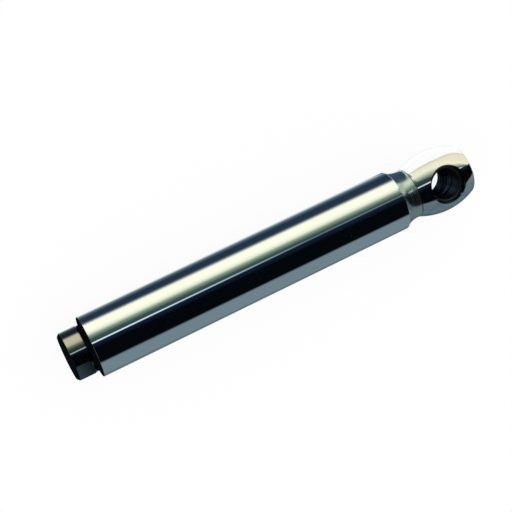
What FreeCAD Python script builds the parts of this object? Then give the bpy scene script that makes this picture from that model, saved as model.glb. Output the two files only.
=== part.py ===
import FreeCAD, Part
import math
import os
import Sketcher

# Tractor lift shaft: a ground, chromed bar with a stepped spigot at one end
# and a welded barrel eye at the other.
# The shaft lies along X and points from the spigot to the eye.
# The origin is the middle of the eye, and the eye's bore runs along Z.

# Driving sizes in millimetres
SIZES = {
    # Bar
    "body_dia": 50,
    "body_len": 272,
    "body_edge": 0.5,
    # Spigot, with a relief groove where it meets the shoulder
    "spigot_dia": 39.5,
    "spigot_len": 19,
    "spigot_edge": 2,
    "relief_width": 4,
    "relief_depth": 0.6,
    "relief_ramp": 1.6,
    # Centre holes that both ends were ground between
    "sink_dia": 8.5,
    "drill_dia": 4,
    "drill_depth": 9,
    "drill_tip": 1.2,
    # Barrel eye, measured from the end of the bar
    "eye_reach": 39.5,
    "head_len": 65,
    "barrel_over_bar": 2.5,
    "barrel_round": 58,
    "head_edge": 0.8,
    # Weld between the bar and the eye
    "weld_depth": 10,
    "collar_len": 15,
    "collar_round": 21,
    "root_gap": 2,
    # Pilot stub of the eye, in the bar's counterbore
    "pilot_len": 18,
    "pilot_edge": 1,
    "pilot_clearance": 0.1,
    "pilot_end_gap": 1,
    # Bore of the eye and its bush
    "bush_bore": 25.7,
    "bush_wall": 2,
    "bush_len": 39.5,
    "bush_edge": 0.5,
    "bore_edge": 1,
}

# Included angle of a centre hole's sink, in degrees
SINK_ANGLE = 60

# How far an edge may stray from the bore's radius and still count as its rim
RIM_TOLERANCE = 0.001
RIM_SAMPLES = 9


class Size:
    """A length: its number, and the expression that ties it to the sheet."""

    def __init__(self, number, text):
        self.number = number
        self.text = text

    def __add__(self, other):
        return combine(self, "+", other, self.number + number_of(other))

    def __sub__(self, other):
        return combine(self, "-", other, self.number - number_of(other))

    def __mul__(self, other):
        return combine(self, "*", other, self.number * number_of(other))

    def __truediv__(self, other):
        return combine(self, "/", other, self.number / number_of(other))

    def __neg__(self):
        return Size(-self.number, f"(-{self.text})")


def number_of(length):
    return length.number if isinstance(length, Size) else length


def text_of(length):
    return length.text if isinstance(length, Size) else str(length)


def combine(first, sign, second, number):
    return Size(number, f"({text_of(first)} {sign} {text_of(second)})")


def make_sheet(doc):
    """Write the driving sizes to a sheet, and return them by name."""
    sheet = doc.addObject("Spreadsheet::Sheet", "dims")
    lengths = {}
    for row, (alias, value) in enumerate(SIZES.items(), start=1):
        sheet.set(f"A{row}", alias)
        sheet.set(f"B{row}", str(value))
        sheet.setAlias(f"B{row}", alias)
        lengths[alias] = Size(value, f"dims.{alias}")
    doc.recompute()
    return lengths


def origin_plane(body, role):
    for feature in body.Origin.OriginFeatures:
        if feature.Role == role:
            return feature
    raise ValueError(role)


def bind(feature, path, length):
    feature.setExpression(path, text_of(length))


def place(body, axis, length):
    """Move a whole piece along one axis to its place in the shaft."""
    bind(body, f".Placement.Base.{axis}", length)


def sketch_on(body, name, role):
    sketch = body.newObject("Sketcher::SketchObject", name)
    sketch.AttachmentSupport = [(origin_plane(body, role), "")]
    sketch.MapMode = "FlatFace"
    return sketch


def point_at(station):
    return FreeCAD.Vector(number_of(station[0]), number_of(station[1]), 0)


def arc_between(start, end, radius, bulge):
    """An arc that bulges left (1) or right (-1) of its chord, always counterclockwise."""
    chord = end - start
    half = chord.Length / 2
    height = math.sqrt(radius * radius - half * half)
    left = FreeCAD.Vector(-chord.y, chord.x, 0).normalize()
    centre = (start + end) / 2 - left * height * bulge
    crown = centre + left * radius * bulge
    if bulge > 0:
        return Part.Arc(end, crown, start)
    return Part.Arc(start, crown, end)


def draw_profile(body, name, stations):
    """Draw a closed outline of lines and arcs, tied to the sheet at each corner.

    A station is (x, y) where a straight line starts, or (x, y, radius, bulge)
    where an arc starts.
    """
    sketch = sketch_on(body, name, "XZ_Plane")
    for index, station in enumerate(stations):
        following = stations[(index + 1) % len(stations)]
        start = point_at(station)
        end = point_at(following)
        if len(station) == 2:
            sketch.addGeometry(Part.LineSegment(start, end), False)
        else:
            radius, bulge = station[2:]
            sketch.addGeometry(arc_between(start, end, number_of(radius), bulge), False)
    for index, station in enumerate(stations):
        following = (index + 1) % len(stations)
        first, last = vertex_order(station)
        joined = vertex_order(stations[following])[0]
        sketch.addConstraint(
            Sketcher.Constraint("Coincident", index, last, following, joined))
        dimension(sketch, "DistanceX", index, first, station[0])
        dimension(sketch, "DistanceY", index, first, station[1])
        if len(station) > 2:
            radius = station[2]
            row = sketch.addConstraint(
                Sketcher.Constraint("Radius", index, number_of(radius)))
            bind(sketch, f"Constraints[{row}]", radius)
    return sketch


def vertex_order(station):
    """Vertex numbers of an edge, from its own corner to the next one."""
    runs_backwards = len(station) > 2 and station[3] > 0
    return (2, 1) if runs_backwards else (1, 2)


def dimension(sketch, kind, edge, vertex, length):
    """Hold one coordinate of a corner, measured from the sketch's origin."""
    row = sketch.addConstraint(
        Sketcher.Constraint(kind, -1, 1, edge, vertex, float(number_of(length))))
    if isinstance(length, Size):
        bind(sketch, f"Constraints[{row}]", length)


def revolve(body, sketch, axis):
    turned = body.newObject("PartDesign::Revolution", f"{body.Name}_turning")
    turned.Profile = sketch
    turned.ReferenceAxis = (sketch, [axis])
    turned.Angle = 360
    sketch.Document.recompute()
    return turned


def new_body(doc, name):
    body = doc.addObject("PartDesign::Body", name)
    body.Label = name
    return body


def barrel_radius(d, offset):
    """Radius of the barrel at a distance along the shaft from the middle of the eye."""
    crown = (d["body_dia"] + d["barrel_over_bar"]) / 2
    arc = d["barrel_round"]
    rise = Size(
        math.sqrt(arc.number ** 2 - offset.number ** 2),
        f"sqrt({arc.text} * {arc.text} - {offset.text} * {offset.text})")
    return crown - arc + rise


def centre_hole(d, face, inward):
    """Corners of a centre hole, from its rim on the end face to its tip on the axis."""
    rim = d["sink_dia"] / 2
    drill = d["drill_dia"] / 2
    sink_depth = (rim - drill) / math.tan(math.radians(SINK_ANGLE / 2))
    return [
        (face, rim),
        (face + sink_depth * inward, drill),
        (face + d["drill_depth"] * inward, drill),
        (face + (d["drill_depth"] + d["drill_tip"]) * inward, 0),
    ]


def weld_root(d):
    """Both sides of the gap at the root of the weld, measured from the end of the bar."""
    middle = d["collar_len"] / 2
    half_gap = d["root_gap"] / 2
    return middle - half_gap, middle + half_gap


def stub_radius(d):
    """Radius of the eye's pilot stub, which the weld reaches down to."""
    return d["body_dia"] / 2 - d["weld_depth"]


def make_rod(doc, d):
    """The bar: X starts at the spigot's end face."""
    body = new_body(doc, "rod")
    shoulder = d["spigot_len"]
    body_end = shoulder + d["body_len"]
    body_radius = d["body_dia"] / 2
    spigot_radius = d["spigot_dia"] / 2
    relief_radius = spigot_radius - d["relief_depth"]
    relief_start = shoulder - d["relief_width"]
    hole_radius = stub_radius(d) + d["pilot_clearance"]
    bar_side, eye_side = weld_root(d)
    hole_mouth = body_end + bar_side
    hole_floor = body_end + eye_side - d["pilot_len"] - d["pilot_end_gap"]
    stations = [
        (0, spigot_radius - d["spigot_edge"]),
        (d["spigot_edge"], spigot_radius),
        (relief_start, spigot_radius),
        (relief_start + d["relief_ramp"], relief_radius),
        (shoulder - d["relief_depth"], relief_radius),
        (shoulder, spigot_radius),
        (shoulder, body_radius - d["body_edge"]),
        (shoulder + d["body_edge"], body_radius),
        (body_end - d["body_edge"], body_radius),
        (body_end, body_radius - d["body_edge"]),
        (hole_mouth, hole_radius),
        (hole_floor, hole_radius),
        (hole_floor, 0),
    ]
    stations += reversed(centre_hole(d, Size(0, "0"), 1))
    revolve(body, draw_profile(body, "rod_profile", stations), "H_Axis")
    place(body, "x", -(d["eye_reach"] + d["body_len"] + d["spigot_len"]))
    return body


def make_weld_collar(doc, d):
    """The weld: a ring between two bevels, turned hollow outside. X starts at the bar's end."""
    body = new_body(doc, "weld_collar")
    pilot_radius = stub_radius(d)
    bar_side, eye_side = weld_root(d)
    stations = [
        (0, d["body_dia"] / 2 - d["body_edge"], d["collar_round"], -1),
        (d["collar_len"], barrel_radius(d, d["eye_reach"] - d["collar_len"])),
        (eye_side, pilot_radius),
        (bar_side, pilot_radius),
        (bar_side, pilot_radius + d["pilot_clearance"]),
    ]
    revolve(body, draw_profile(body, "collar_profile", stations), "H_Axis")
    place(body, "x", -d["eye_reach"])
    return body


def make_eye_head(doc, d):
    """The eye: a turned barrel with a pilot stub, cross-bored. X starts at its middle."""
    body = new_body(doc, "eye_head")
    bar_end = -d["eye_reach"]
    crease = bar_end + d["collar_len"]
    end_face = d["head_len"] - d["eye_reach"]
    edge_start = end_face - d["head_edge"]
    stub_start = bar_end + weld_root(d)[1]
    pilot_radius = stub_radius(d)
    stub_end = stub_start - d["pilot_len"]
    end_radius = barrel_radius(d, edge_start)
    stations = [
        (stub_end, 0),
        (stub_end, pilot_radius - d["pilot_edge"]),
        (stub_end + d["pilot_edge"], pilot_radius),
        (stub_start, pilot_radius),
        (crease, barrel_radius(d, crease), d["barrel_round"], 1),
        (edge_start, end_radius),
        (end_face, end_radius - d["head_edge"]),
    ]
    stations += centre_hole(d, end_face, -1)
    revolve(body, draw_profile(body, "head_profile", stations), "H_Axis")

    bore_radius = d["bush_bore"] / 2 + d["bush_wall"]
    bore_sketch = sketch_on(body, "bore_circle", "XY_Plane")
    bore_sketch.addGeometry(
        Part.Circle(FreeCAD.Vector(0, 0, 0), FreeCAD.Vector(0, 0, 1), bore_radius.number), False)
    bore_sketch.addConstraint(Sketcher.Constraint("Coincident", 0, 3, -1, 1))
    row = bore_sketch.addConstraint(Sketcher.Constraint("Radius", 0, bore_radius.number))
    bind(bore_sketch, f"Constraints[{row}]", bore_radius)
    bore = body.newObject("PartDesign::Pocket", "cross_bore")
    bore.Profile = bore_sketch
    bore.SideType = "Symmetric"
    bore.Type = "ThroughAll"
    doc.recompute()

    chamfer = body.newObject("PartDesign::Chamfer", "bore_edges")
    chamfer.Base = (bore, saddle_edges(bore.Shape, bore_radius.number))
    bind(chamfer, "Size", d["bore_edge"])
    return body


def saddle_edges(shape, radius):
    """Names of the edges where a bore along Z breaks out through the barrel."""
    names = []
    for index, edge in enumerate(shape.Edges, start=1):
        if edge.Degenerated or edge.Curve.TypeId == "Part::GeomLine":
            continue
        reaches = [math.hypot(point.x, point.y) for point in edge.discretize(RIM_SAMPLES)]
        if all(abs(reach - radius) < RIM_TOLERANCE for reach in reaches):
            names.append(f"Edge{index}")
    return names


def make_eye_bush(doc, d):
    """The bush: a tube along Z, with a lead-in at both mouths. Z starts at its lower end."""
    body = new_body(doc, "eye_bush")
    inner = d["bush_bore"] / 2
    outer = inner + d["bush_wall"]
    edge = d["bush_edge"]
    top = d["bush_len"]
    stations = [
        (inner + edge, 0),
        (outer, 0),
        (outer, top),
        (inner + edge, top),
        (inner, top - edge),
        (inner, edge),
    ]
    revolve(body, draw_profile(body, "bush_profile", stations), "V_Axis")
    place(body, "z", -(d["bush_len"] / 2))
    return body


def check_document(doc, bodies):
    """Stop before writing anything if a feature failed or a piece isn't sound."""
    for item in doc.Objects:
        if "Invalid" in item.State or "Error" in item.State:
            raise RuntimeError(f"{item.Name}: {item.State}")
    for body in bodies:
        shape = body.Shape
        if shape.isNull() or not shape.isValid() or len(shape.Solids) != 1:
            raise RuntimeError(f"{body.Label}: shape is not one sound solid")
    head = doc.getObject("eye_head_turning").Shape.Volume
    bored = doc.getObject("cross_bore").Shape.Volume
    if bored >= head:
        raise RuntimeError("cross_bore cuts nothing")


def main():
    doc = FreeCAD.newDocument("tractor_lift_shaft")
    d = make_sheet(doc)
    bodies = [
        make_rod(doc, d),
        make_weld_collar(doc, d),
        make_eye_head(doc, d),
        make_eye_bush(doc, d),
    ]
    doc.recompute()
    check_document(doc, bodies)
    os.makedirs("parts", exist_ok=True)
    for body in bodies:
        body.Shape.exportStep(f"parts/{body.Label}.step")
        box = body.Shape.BoundBox
        print(f"{body.Label}: {body.Shape.Volume / 1000:.1f} cm3, x {box.XMin:.2f} to {box.XMax:.2f}")


main()
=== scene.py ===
import math

import bpy
from mathutils import Matrix, Vector


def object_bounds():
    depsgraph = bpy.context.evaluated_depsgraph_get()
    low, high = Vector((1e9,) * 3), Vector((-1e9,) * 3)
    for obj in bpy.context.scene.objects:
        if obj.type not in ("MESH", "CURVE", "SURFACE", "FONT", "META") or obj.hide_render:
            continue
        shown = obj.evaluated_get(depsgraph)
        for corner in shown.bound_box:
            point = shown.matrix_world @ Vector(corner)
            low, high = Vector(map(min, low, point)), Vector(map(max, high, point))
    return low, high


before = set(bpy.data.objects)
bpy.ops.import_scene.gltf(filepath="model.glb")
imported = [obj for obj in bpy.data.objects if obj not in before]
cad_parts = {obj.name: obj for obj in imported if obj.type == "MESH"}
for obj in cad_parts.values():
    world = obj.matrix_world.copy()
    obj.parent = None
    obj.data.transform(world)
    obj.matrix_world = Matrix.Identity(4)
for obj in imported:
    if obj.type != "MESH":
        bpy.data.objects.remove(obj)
cad_low, cad_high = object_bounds()

# Places along the shaft, in metres: the spigot's end, where its chamfer gives way to the
# seat, the shoulder, and where the relief groove beside the shoulder begins
SPIGOT_END = cad_low.x
SEAT = SPIGOT_END + 0.002
SHOULDER = SPIGOT_END + 0.019
GROOVE = SHOULDER - 0.004
# The corner between the weld collar and the eye, and the eye's far face
CREASE = -0.0245
HEAD_END = cad_high.x
# Radius of the chamfered mouth of the eye's bore, in metres
EYE_RIM = 0.0158

# Camera: where it stands, the point on the shaft's level it looks at, and its upper side
CAMERA_PLACE = Vector((-0.3884, 0.2900, 0.8723))
CAMERA_AIM = Vector((-0.1641, 0.0083, 0.0))
CAMERA_UP = Vector((0.4196, 0.8898, -0.1795))
FOCAL_PIXELS = 1200
IMAGE_PIXELS = 512
SENSOR_MM = 36

# Share of the floor's brightness that doesn't depend on the light that reaches it
FLOOR_GLOW = 0.92
FLOOR_COLOUR = (0.98, 0.98, 0.98)
FLOOR_SIZE = 6.0

# The studio that the metal mirrors. Its soft boxes are long and run beside the shaft,
# so a direction's colour depends on its angle from straight up towards +Y, in degrees.
UNLIT = (0.0, 0.0, 0.0)
BLACK = (0.001, 0.002, 0.003)
NAVY = (0.015, 0.033, 0.061)
DEEP_NAVY = (0.005, 0.011, 0.026)
SLATE = (0.150, 0.215, 0.245)
DARK_SLATE = (0.075, 0.115, 0.140)
PALE_SLATE = (0.26, 0.33, 0.34)
MIST = (0.55, 0.61, 0.62)
MOSS = (0.020, 0.045, 0.045)
ROOM = [
    (-180, MIST),
    (-162, MIST),
    (-150, PALE_SLATE),
    (-130, DARK_SLATE),
    (-108, SLATE),
    (-54, SLATE),
    (-46, BLACK),
    (8, BLACK),
    (19, DEEP_NAVY),
    (28, DEEP_NAVY),
    (31, MOSS),
    (50, MOSS),
    (105, NAVY),
    (140, NAVY),
    (156, DARK_SLATE),
    (170, PALE_SLATE),
    (177, MIST),
]
# The large warm soft box beside the shaft, which turns green where its light falls off
CREAM = (0.95, 0.925, 0.72)
WARM_BOX = [
    (-180, UNLIT),
    (32, UNLIT),
    (46, (0.02, 0.04, 0.03)),
    (57, (0.19, 0.24, 0.16)),
    (68, (0.74, 0.79, 0.61)),
    (79, CREAM),
    (100, CREAM),
    (105, (0.74, 0.77, 0.64)),
    (111, (0.20, 0.23, 0.19)),
    (117, (0.02, 0.02, 0.01)),
    (123, UNLIT),
]
# A thin light tube
ICE = (0.72, 0.88, 1.00)
TUBE = [(-180, UNLIT), (24.75, UNLIT), (26.25, ICE), (28.75, ICE), (30.25, UNLIT)]
# How far each of them turns with the direction's share along the shaft, in degrees, and
# the share at which they stop turning
ROOM_SKEW = 21
WARM_SKEW = 45
TUBE_SKEW = 12
SKEW_END = 0.42
# The tube is faint over part of its length: the shares along X between which it dims,
# those between which it returns, its strength there, and those between which it ends
TUBE_DIMS = (0.12, 0.28)
TUBE_RETURNS = (0.42, 0.60)
TUBE_LOW = 0.14
TUBE_ENDS = (0.80, 0.90)
# The tube bends at its near end: how far, as a share along X, and between which shares
TUBE_BEND = 0.44
TUBE_BENDS = (0.03, 0.07)
STUDIO_STRENGTH = 1.35

# Small cards beside the shaft, in metres: outlines along X and Z, and their places along Y.
# Three stand upright close behind one another beside the eye: a white one, the dull edge
# that shows above it, and a cream one that fades upwards.
WHITE_OUTLINE = [
    (-0.0280, -0.150),
    (0.2000, -0.150),
    (0.2000, -0.004),
    (0.0300, 0.0090),
    (0.0060, 0.0145),
    (-0.0100, 0.0135),
    (-0.0225, 0.0100),
    (-0.0280, 0.0075),
]
WHITE_PLACE = 0.0300
WHITE = (0.90, 0.935, 1.00)
WHITE_STRENGTH = 1.52
EDGE_OUTLINE = [(x, z + 0.0030) for x, z in WHITE_OUTLINE]
EDGE_PLACE = 0.0301
EDGE_DULL = (0.92, 0.98, 0.86)
CREAM_OUTLINE = [
    (-0.0225, -0.050),
    (0.2000, -0.050),
    (0.2000, 0.091),
    (0.0000, 0.052),
    (-0.0334, 0.036),
    (-0.0300, 0.024),
    (-0.0225, 0.004),
]
CREAM_PLACE = 0.0302
CREAM_STRENGTH = 1.28
# The cream card's colours at heights in metres, and how much they rise with X
CREAM_STOPS = [
    (0.000, (0.86, 0.85, 0.69)),
    (0.018, (0.90, 0.88, 0.72)),
    (0.023, (0.97, 0.95, 0.78)),
    (0.027, (0.93, 0.97, 0.80)),
    (0.031, (0.66, 0.74, 0.60)),
    (0.036, (0.39, 0.48, 0.39)),
    (0.041, (0.21, 0.29, 0.23)),
    (0.046, (0.11, 0.16, 0.13)),
    (0.051, (0.02, 0.045, 0.04)),
]
CREAM_RISE = 0.20
# Corners of a dim one that leans over the weld collar and keeps the white one out of it,
# the heights between which it turns pale, and how much they rise with X
COLLAR_CARD = [
    (-0.0252, 0.0221, -0.090),
    (-0.0252, 0.0221, 0.0148),
    (-0.0262, 0.0227, 0.0152),
    (-0.0365, 0.0285, 0.0118),
    (-0.0365, 0.0285, -0.090),
]
DIM_BLUE = (0.076, 0.135, 0.215)
PALE_CREAM = (0.52, 0.58, 0.48)
COLLAR_FADE = (0.0196, 0.0248)
COLLAR_RISE = 0.35
# Another dim one stands on the near side of the spigot, and turns from dusk to night
SPIGOT_OUTLINE = [(-0.3304, -0.150), (-0.314, -0.150), (-0.314, 0.050), (-0.3304, 0.050)]
SPIGOT_PLACE = -0.027
DUSK = (0.065, 0.12, 0.18)
NIGHT = (0.010, 0.018, 0.026)
NIGHTFALL = (-0.329, -0.314)

# Finishes: pairs of colours and of roughnesses that a noise blends, a noise's scale, where
# it isn't the same along X, Y and Z with all three, and how deep its marks are in metres.
# Most of a noise lies within MIDDLE, and the narrower CORE gives more contrast.
MIDDLE = (0.3, 0.7)
CORE = (0.35, 0.65)

# The bar, and the bare spigot, with very dark painted shade on its end and from its groove to the
# chrome
CHROME = ((0.73, 0.74, 0.75), (0.78, 0.785, 0.79))
CHROME_ROUGHNESS = (0.006, 0.014)
# The chrome starts just past the shoulder, so the painted shade also covers the shoulder's face and
# edge
CHROME_EDGE = (SHOULDER + 0.00045, SHOULDER + 0.00055)
GRINDING = (450, 90, 90)
GRINDING_DEPTH = 0.000006
CLOUD_SCALE = 28
BARE = ((0.345, 0.325, 0.278), (0.43, 0.404, 0.342))
BARE_ROUGHNESS = (0.03, 0.06)
SPIGOT_TURNING = (1500, 8, 8)
PAINTED_SHADE_COLOUR = (0.003, 0.004, 0.006)
GROOVE_SHADE_SPAN = (GROOVE - 0.0012, GROOVE + 0.0016)
END_SHADE_SPAN = (SEAT - 0.0001, SEAT + 0.0002)
# Shares of the painted shade between which the metal stops shining, and how much it shines elsewhere
SHADE_STOPS_SHINE = (0.95, 1.0)
USUAL_SPECULAR = 0.5

# The weld collar: satin low on its near side, painted shade above, a painted highlight
# beside the eye, and painted shade in the corner by it. The pairs below are places along Y or X.
SATIN = ((0.44, 0.47, 0.45), (0.58, 0.59, 0.55))
SHADED_ABOVE = ((0.26, 0.33, 0.33), (0.38, 0.45, 0.43))
PAINTED_HIGHLIGHT = ((0.68, 0.71, 0.64), (0.86, 0.87, 0.78))
CREASE_SHADE_COLOUR = (0.12, 0.15, 0.16)
WELD_ROUGHNESS = (0.15, 0.21)
WELD_RINGS = (700, 20, 20)
WELD_DEPTH = 0.000002
CREASE_SHADE_SPAN = (CREASE - 0.0014, CREASE - 0.0004)
SHADE_ABOVE_SPAN = (-0.0075, -0.0045)
HIGHLIGHT_FROM = (0.003, 0.0075)
HIGHLIGHT_TO = (0.0100, 0.0165)
HIGHLIGHT_ALONG = (-0.036, -0.030)

# The eye: fine-turned, bluish grey in blotches on its near side, painted shade round the bore, and
# faced dull
EYE_STEEL = ((0.695, 0.667, 0.619), (0.715, 0.693, 0.651))
EYE_ROUGHNESS = (0.008, 0.020)
EYE_RINGS = (700, 60, 60)
EYE_DEPTH = 0.000006
MOTTLE_SCALE = 220
SIDE_BLOTCH_COLOUR = (0.40, 0.46, 0.50)
SIDE_BLOTCH_SHARES = (0.55, 1.0)
SIDE_BLOTCH_SPAN = (-0.012, -0.004)
BORE_SHADE_COLOUR = (0.07, 0.08, 0.09)
BORE_SHADE_SPAN = (EYE_RIM, EYE_RIM + 0.0004)
FACED = (0.30, 0.31, 0.31)
FACED_ROUGHNESS = 0.25
FACED_EDGE = (HEAD_END - 0.0002, HEAD_END - 0.0001)

# The bush: very dark colours as painted shade for the inside of the bore, with boring marks round it
BUSH_SHADE_COLOURS = ((0.017, 0.019, 0.024), (0.062, 0.072, 0.082))
BUSH_SHADE_TINT = (0.10, 0.12, 0.16)
BORED_METALLIC = 0.85
BORED_ROUGHNESS = (0.22, 0.36)
BORING = (24, 24, 300)
BORING_DEPTH = 0.000015


def add_node(tree, kind, **settings):
    node = tree.nodes.new(kind)
    for name, value in settings.items():
        setattr(node, name, value)
    return node


def feed(tree, socket, value):
    """Give a socket a number, a colour or another node's output."""
    if isinstance(value, bpy.types.NodeSocket):
        tree.links.new(value, socket)
    elif isinstance(value, tuple):
        socket.default_value = (*value, 1)
    else:
        socket.default_value = value


def math_node(tree, operation, *inputs):
    node = add_node(tree, "ShaderNodeMath", operation=operation)
    for socket, value in zip(node.inputs, inputs):
        feed(tree, socket, value)
    return node.outputs[0]


def times(tree, first, second):
    return math_node(tree, "MULTIPLY", first, second)


def split(tree, vector):
    node = add_node(tree, "ShaderNodeSeparateXYZ")
    feed(tree, node.inputs[0], vector)
    return node.outputs


def between(tree, factor, low, high, start=0.0, end=1.0):
    """A number that goes from low to high as the factor goes from start to end."""
    node = add_node(tree, "ShaderNodeMapRange")
    for name, value in (("From Min", start), ("From Max", end), ("To Min", low), ("To Max", high)):
        feed(tree, node.inputs[name], value)
    feed(tree, node.inputs["Value"], factor)
    return node.outputs["Result"]


def rising(tree, factor, span):
    return between(tree, factor, 0.0, 1.0, *span)


def falling(tree, factor, span):
    return between(tree, factor, 1.0, 0.0, *span)


def mixed(tree, blend_type, factor, first, second):
    node = add_node(tree, "ShaderNodeMix", data_type="RGBA", blend_type=blend_type)
    feed(tree, node.inputs["Factor"], factor)
    feed(tree, node.inputs["A"], first)
    feed(tree, node.inputs["B"], second)
    return node.outputs["Result"]


def blend(tree, factor, first, second):
    return mixed(tree, "MIX", factor, first, second)


def plus(tree, first, second):
    return mixed(tree, "ADD", 1.0, first, second)


def ramp(tree, factor, stops, start, end):
    """Colours at places that go from start to end as the factor goes from 0 to 1."""
    node = add_node(tree, "ShaderNodeValToRGB")
    feed(tree, node.inputs[0], factor)
    elements = node.color_ramp.elements
    elements.remove(elements[-1])
    for index, (place, colour) in enumerate(stops):
        share = (place - start) / (end - start)
        element = elements[0] if index == 0 else elements.new(share)
        element.position = share
        element.color = (*colour, 1)
    return node.outputs["Color"]


def object_place(tree):
    return add_node(tree, "ShaderNodeTexCoord").outputs["Object"]


def camera():
    data = bpy.data.cameras.new("camera")
    data.sensor_width = SENSOR_MM
    data.lens = FOCAL_PIXELS / IMAGE_PIXELS * SENSOR_MM
    eye = bpy.data.objects.new("camera", data)
    back = (CAMERA_PLACE - CAMERA_AIM).normalized()
    right = CAMERA_UP.cross(back).normalized()
    up = back.cross(right)
    turn = Matrix((right, up, back)).transposed()
    eye.matrix_world = Matrix.Translation(CAMERA_PLACE) @ turn.to_4x4()
    bpy.context.scene.collection.objects.link(eye)
    bpy.context.scene.camera = eye


def colour_by_angle(tree, direction, along, skew, stops):
    """A direction's colour by its angle from straight up towards +Y."""
    turn = math_node(tree, "ARCTAN2", direction["Y"], direction["Z"])
    share = math_node(tree, "DIVIDE", turn, 2 * math.pi)
    shift = math_node(tree, "MULTIPLY_ADD", along, skew / 360, 0.5)
    angle = math_node(tree, "FRACT", math_node(tree, "ADD", share, shift))
    return ramp(tree, angle, stops, -180, 180)


def light_tube(tree, direction, either_way):
    bend = between(tree, direction["X"], TUBE_BEND, 0.0, *TUBE_BENDS)
    along = math_node(tree, "MAXIMUM", either_way, bend)
    colour = colour_by_angle(tree, direction, along, TUBE_SKEW, TUBE)
    dims = between(tree, direction["X"], 1.0, TUBE_LOW, *TUBE_DIMS)
    returns = rising(tree, direction["X"], TUBE_RETURNS)
    ends = falling(tree, direction["X"], TUBE_ENDS)
    brightness = times(tree, math_node(tree, "MAXIMUM", dims, returns), ends)
    return blend(tree, brightness, UNLIT, colour)


def studio_world():
    """Plain white all round, and a studio's soft boxes for what the metal mirrors."""
    world = bpy.data.worlds.new("studio")
    world.use_nodes = True
    tree = world.node_tree
    tree.nodes.clear()
    direction = split(tree, add_node(tree, "ShaderNodeTexCoord").outputs["Generated"])
    # The direction's share along the shaft, either way and towards the eye alone
    either_way = math_node(tree, "MINIMUM", math_node(tree, "ABSOLUTE", direction["X"]), SKEW_END)
    one_way = between(tree, direction["X"], 0.0, SKEW_END, 0.0, SKEW_END)
    room = colour_by_angle(tree, direction, either_way, ROOM_SKEW, ROOM)
    tube = light_tube(tree, direction, either_way)
    warm_box = colour_by_angle(tree, direction, one_way, WARM_SKEW, WARM_BOX)
    mirrored = add_node(tree, "ShaderNodeBackground")
    feed(tree, mirrored.inputs["Color"], plus(tree, plus(tree, room, tube), warm_box))
    feed(tree, mirrored.inputs["Strength"], STUDIO_STRENGTH)
    plain = add_node(tree, "ShaderNodeBackground")
    feed(tree, plain.inputs["Color"], (1.0, 1.0, 1.0))
    mix = add_node(tree, "ShaderNodeMixShader")
    rays = add_node(tree, "ShaderNodeLightPath")
    feed(tree, mix.inputs[0], rays.outputs["Is Glossy Ray"])
    feed(tree, mix.inputs[1], plain.outputs[0])
    feed(tree, mix.inputs[2], mirrored.outputs[0])
    output = add_node(tree, "ShaderNodeOutputWorld")
    feed(tree, output.inputs[0], mix.outputs[0])
    bpy.context.scene.world = world


def floor():
    """A pale floor that keeps a faint shadow, and that the metal doesn't mirror."""
    material = bpy.data.materials.new("floor")
    material.use_nodes = True
    tree = material.node_tree
    tree.nodes.clear()
    matt = add_node(tree, "ShaderNodeBsdfDiffuse")
    feed(tree, matt.inputs["Color"], FLOOR_COLOUR)
    glow = add_node(tree, "ShaderNodeEmission")
    mix = add_node(tree, "ShaderNodeMixShader")
    rays = add_node(tree, "ShaderNodeLightPath")
    feed(tree, mix.inputs[0], times(tree, rays.outputs["Is Camera Ray"], FLOOR_GLOW))
    feed(tree, mix.inputs[1], matt.outputs[0])
    feed(tree, mix.inputs[2], glow.outputs[0])
    output = add_node(tree, "ShaderNodeOutputMaterial")
    feed(tree, output.inputs[0], mix.outputs[0])

    bpy.ops.mesh.primitive_plane_add(size=FLOOR_SIZE, location=(0, 0, cad_low.z))
    plane = bpy.context.object
    plane.name = "floor"
    plane.data.materials.append(material)
    plane.visible_glossy = False


def glowing(name, strength):
    """A glowing material: its tree and its colour's socket come with it."""
    material = bpy.data.materials.new(name)
    material.use_nodes = True
    tree = material.node_tree
    tree.nodes.clear()
    glow = add_node(tree, "ShaderNodeEmission")
    feed(tree, glow.inputs["Strength"], strength)
    output = add_node(tree, "ShaderNodeOutputMaterial")
    feed(tree, output.inputs[0], glow.outputs[0])
    return material, tree, glow.inputs["Color"]


def height_on_card(tree, rise):
    """Height in metres, less what it rises by with X."""
    place = split(tree, object_place(tree))
    return math_node(tree, "SUBTRACT", place["Z"], times(tree, place["X"], rise))


def plain_glow(name, colour, strength=1.0):
    material, tree, socket = glowing(name, strength)
    feed(tree, socket, colour)
    return material


def cream_glow():
    """Cream that fades upwards to a dim green."""
    material, tree, socket = glowing("cream_card", CREAM_STRENGTH)
    low = CREAM_STOPS[0][0]
    high = CREAM_STOPS[-1][0]
    share = rising(tree, height_on_card(tree, CREAM_RISE), (low, high))
    feed(tree, socket, ramp(tree, share, CREAM_STOPS, low, high))
    return material


def collar_glow():
    """A dim blue that turns pale towards the card's upper edge."""
    material, tree, socket = glowing("collar_card", 1.0)
    paler = rising(tree, height_on_card(tree, COLLAR_RISE), COLLAR_FADE)
    feed(tree, socket, blend(tree, paler, DIM_BLUE, PALE_CREAM))
    return material


def dusk_glow():
    """A dim blue that turns darker towards the shoulder."""
    material, tree, socket = glowing("spigot_card", 1.0)
    darker = rising(tree, split(tree, object_place(tree))["X"], NIGHTFALL)
    feed(tree, socket, blend(tree, darker, DUSK, NIGHT))
    return material


def upright(outline, place):
    """Corners of a card that stands upright, at a place along Y."""
    return [(x, place, z) for x, z in outline]


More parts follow.
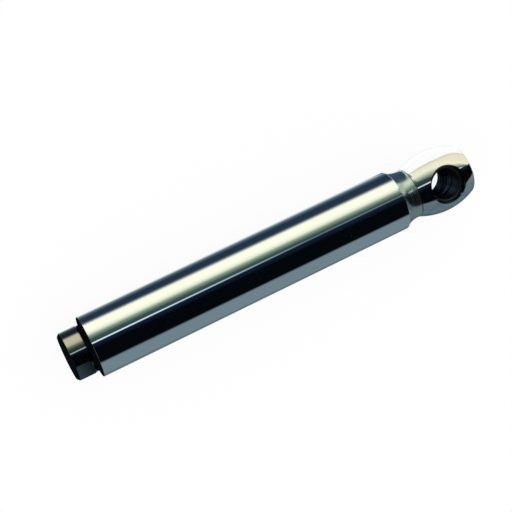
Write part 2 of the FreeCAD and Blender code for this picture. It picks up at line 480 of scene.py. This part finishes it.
def card(name, corners, material):
    """A card beside the shaft that is seen only in the metal."""
    mesh = bpy.data.meshes.new(name)
    mesh.from_pydata(corners, [], [range(len(corners))])
    mesh.materials.append(material)
    sheet = bpy.data.objects.new(name, mesh)
    bpy.context.scene.collection.objects.link(sheet)
    sheet.visible_camera = False
    sheet.visible_diffuse = False
    sheet.visible_shadow = False
    sheet.visible_transmission = False


def metal(name):
    """A metal: its material, tree and shader, and the piece's own coordinates."""
    material = bpy.data.materials.new(name)
    material.use_nodes = True
    tree = material.node_tree
    shader = tree.nodes["Principled BSDF"]
    feed(tree, shader.inputs["Metallic"], 1.0)
    return material, tree, shader, object_place(tree)


def noise(tree, place, scale, detail=2.0):
    """A noise at a scale, either one number or three, along X, Y and Z."""
    stretch = scale if isinstance(scale, tuple) else (scale, scale, scale)
    mapping = add_node(tree, "ShaderNodeMapping")
    mapping.inputs["Scale"].default_value = stretch
    feed(tree, mapping.inputs["Vector"], place)
    pattern = add_node(tree, "ShaderNodeTexNoise")
    feed(tree, pattern.inputs["Scale"], 1.0)
    feed(tree, pattern.inputs["Detail"], detail)
    feed(tree, pattern.inputs["Vector"], mapping.outputs[0])
    return pattern.outputs["Fac"]


def marks(tree, shader, height, depth):
    bump = add_node(tree, "ShaderNodeBump")
    feed(tree, bump.inputs["Distance"], depth)
    feed(tree, bump.inputs["Height"], height)
    feed(tree, shader.inputs["Normal"], bump.outputs[0])


def hard_chrome():
    """Ground and chromed bar. The spigot is bare, with very dark painted shade on its end and from its
    groove over the shoulder's face.
    """
    material, tree, shader, place = metal("hard_chrome")
    along = split(tree, place)["X"]
    chromed = rising(tree, along, CHROME_EDGE)
    # Painted shade: the spigot's end, and the groove, shoulder face and edge, are painted very dark and
    # stop shining
    painted_shade = math_node(tree, "MAXIMUM", rising(tree, along, GROOVE_SHADE_SPAN), falling(tree, along, END_SHADE_SPAN))
    shining = math_node(tree, "MAXIMUM", chromed, falling(tree, painted_shade, SHADE_STOPS_SHINE))
    feed(tree, shader.inputs["Metallic"], shining)
    feed(tree, shader.inputs["Specular IOR Level"], times(tree, shining, USUAL_SPECULAR))
    grinding = noise(tree, place, GRINDING, detail=3.0)
    turning = noise(tree, place, SPIGOT_TURNING)
    cloud = noise(tree, place, CLOUD_SCALE)
    bar = blend(tree, cloud, *CHROME)
    spigot = blend(tree, painted_shade, blend(tree, cloud, *BARE), PAINTED_SHADE_COLOUR)
    feed(tree, shader.inputs["Base Color"], blend(tree, chromed, spigot, bar))
    bar_roughness = between(tree, grinding, *CHROME_ROUGHNESS, *MIDDLE)
    bare_roughness = between(tree, turning, *BARE_ROUGHNESS, *MIDDLE)
    feed(tree, shader.inputs["Roughness"], between(tree, chromed, bare_roughness, bar_roughness))
    marks(tree, shader, times(tree, grinding, chromed), GRINDING_DEPTH)
    return material


def turned_weld():
    material, tree, shader, place = metal("turned_weld")
    rings = noise(tree, place, WELD_RINGS)
    part = split(tree, place)
    # Painted shade: the collar's colour turns duller towards +Y, its upper side
    shaded_above = rising(tree, part["Y"], SHADE_ABOVE_SPAN)
    # Painted highlight: a bright spot on the collar beside the eye, between heights along Y and towards
    # +X
    highlight_band = times(tree, rising(tree, part["Y"], HIGHLIGHT_FROM), falling(tree, part["Y"], HIGHLIGHT_TO))
    highlight_patch = times(tree, highlight_band, rising(tree, part["X"], HIGHLIGHT_ALONG))
    turned = blend(tree, shaded_above, blend(tree, rings, *SATIN), blend(tree, rings, *SHADED_ABOVE))
    turned = blend(tree, highlight_patch, turned, blend(tree, rings, *PAINTED_HIGHLIGHT))
    # Painted shade: the collar darkens in the corner beside the eye
    crease_shade = rising(tree, part["X"], CREASE_SHADE_SPAN)
    feed(tree, shader.inputs["Base Color"], blend(tree, crease_shade, turned, CREASE_SHADE_COLOUR))
    feed(tree, shader.inputs["Roughness"], between(tree, rings, *WELD_ROUGHNESS, *MIDDLE))
    marks(tree, shader, rings, WELD_DEPTH)
    return material


def reach_from_bore(tree, part):
    """Distance from the axis of the eye's bore."""
    along = math_node(tree, "POWER", part["X"], 2.0)
    across = math_node(tree, "POWER", part["Y"], 2.0)
    return math_node(tree, "SQRT", math_node(tree, "ADD", along, across))


def turned_steel():
    material, tree, shader, place = metal("turned_steel")
    mottle = noise(tree, place, MOTTLE_SCALE, detail=4.0)
    rings = noise(tree, place, EYE_RINGS)
    part = split(tree, place)
    contrast = rising(tree, mottle, CORE)
    # Bluish grey in blotches towards -Y
    near_side = falling(tree, part["Y"], SIDE_BLOTCH_SPAN)
    side_blotch = times(tree, near_side, between(tree, contrast, *SIDE_BLOTCH_SHARES))
    # Painted shade: very dark on the bore's wall and the chamfer of its mouth
    bore_shade = falling(tree, reach_from_bore(tree, part), BORE_SHADE_SPAN)
    faced = rising(tree, part["X"], FACED_EDGE)
    steel = blend(tree, side_blotch, blend(tree, contrast, *EYE_STEEL), SIDE_BLOTCH_COLOUR)
    steel = blend(tree, bore_shade, steel, BORE_SHADE_COLOUR)
    feed(tree, shader.inputs["Base Color"], blend(tree, faced, steel, FACED))
    turned_roughness = between(tree, mottle, *EYE_ROUGHNESS, *MIDDLE)
    feed(tree, shader.inputs["Roughness"], between(tree, faced, turned_roughness, FACED_ROUGHNESS))
    marks(tree, shader, rings, EYE_DEPTH)
    return material


def bored_steel():
    material, tree, shader, place = metal("bored_steel")
    # Painted shade: dark colours and no dielectric shine stand for the shade inside the bore
    feed(tree, shader.inputs["Metallic"], BORED_METALLIC)
    feed(tree, shader.inputs["Specular IOR Level"], 0.0)
    feed(tree, shader.inputs["Specular Tint"], BUSH_SHADE_TINT)
    rings = noise(tree, place, BORING, detail=3.0)
    feed(tree, shader.inputs["Base Color"], blend(tree, rising(tree, rings, CORE), *BUSH_SHADE_COLOURS))
    feed(tree, shader.inputs["Roughness"], between(tree, rings, *BORED_ROUGHNESS, *MIDDLE))
    marks(tree, shader, rings, BORING_DEPTH)
    return material


def dress(node, material):
    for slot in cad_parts[node].material_slots:
        slot.material = material


dress("rod", hard_chrome())
dress("weld_collar", turned_weld())
dress("eye_head", turned_steel())
dress("eye_bush", bored_steel())

studio_world()
floor()
card("white_card", upright(WHITE_OUTLINE, WHITE_PLACE), plain_glow("white_card", WHITE, WHITE_STRENGTH))
card("edge_card", upright(EDGE_OUTLINE, EDGE_PLACE), plain_glow("edge_card", EDGE_DULL))
card("cream_card", upright(CREAM_OUTLINE, CREAM_PLACE), cream_glow())
card("collar_card", COLLAR_CARD, collar_glow())
card("spigot_card", upright(SPIGOT_OUTLINE, SPIGOT_PLACE), dusk_glow())
camera()

scene = bpy.context.scene
scene.view_settings.view_transform = "Standard"
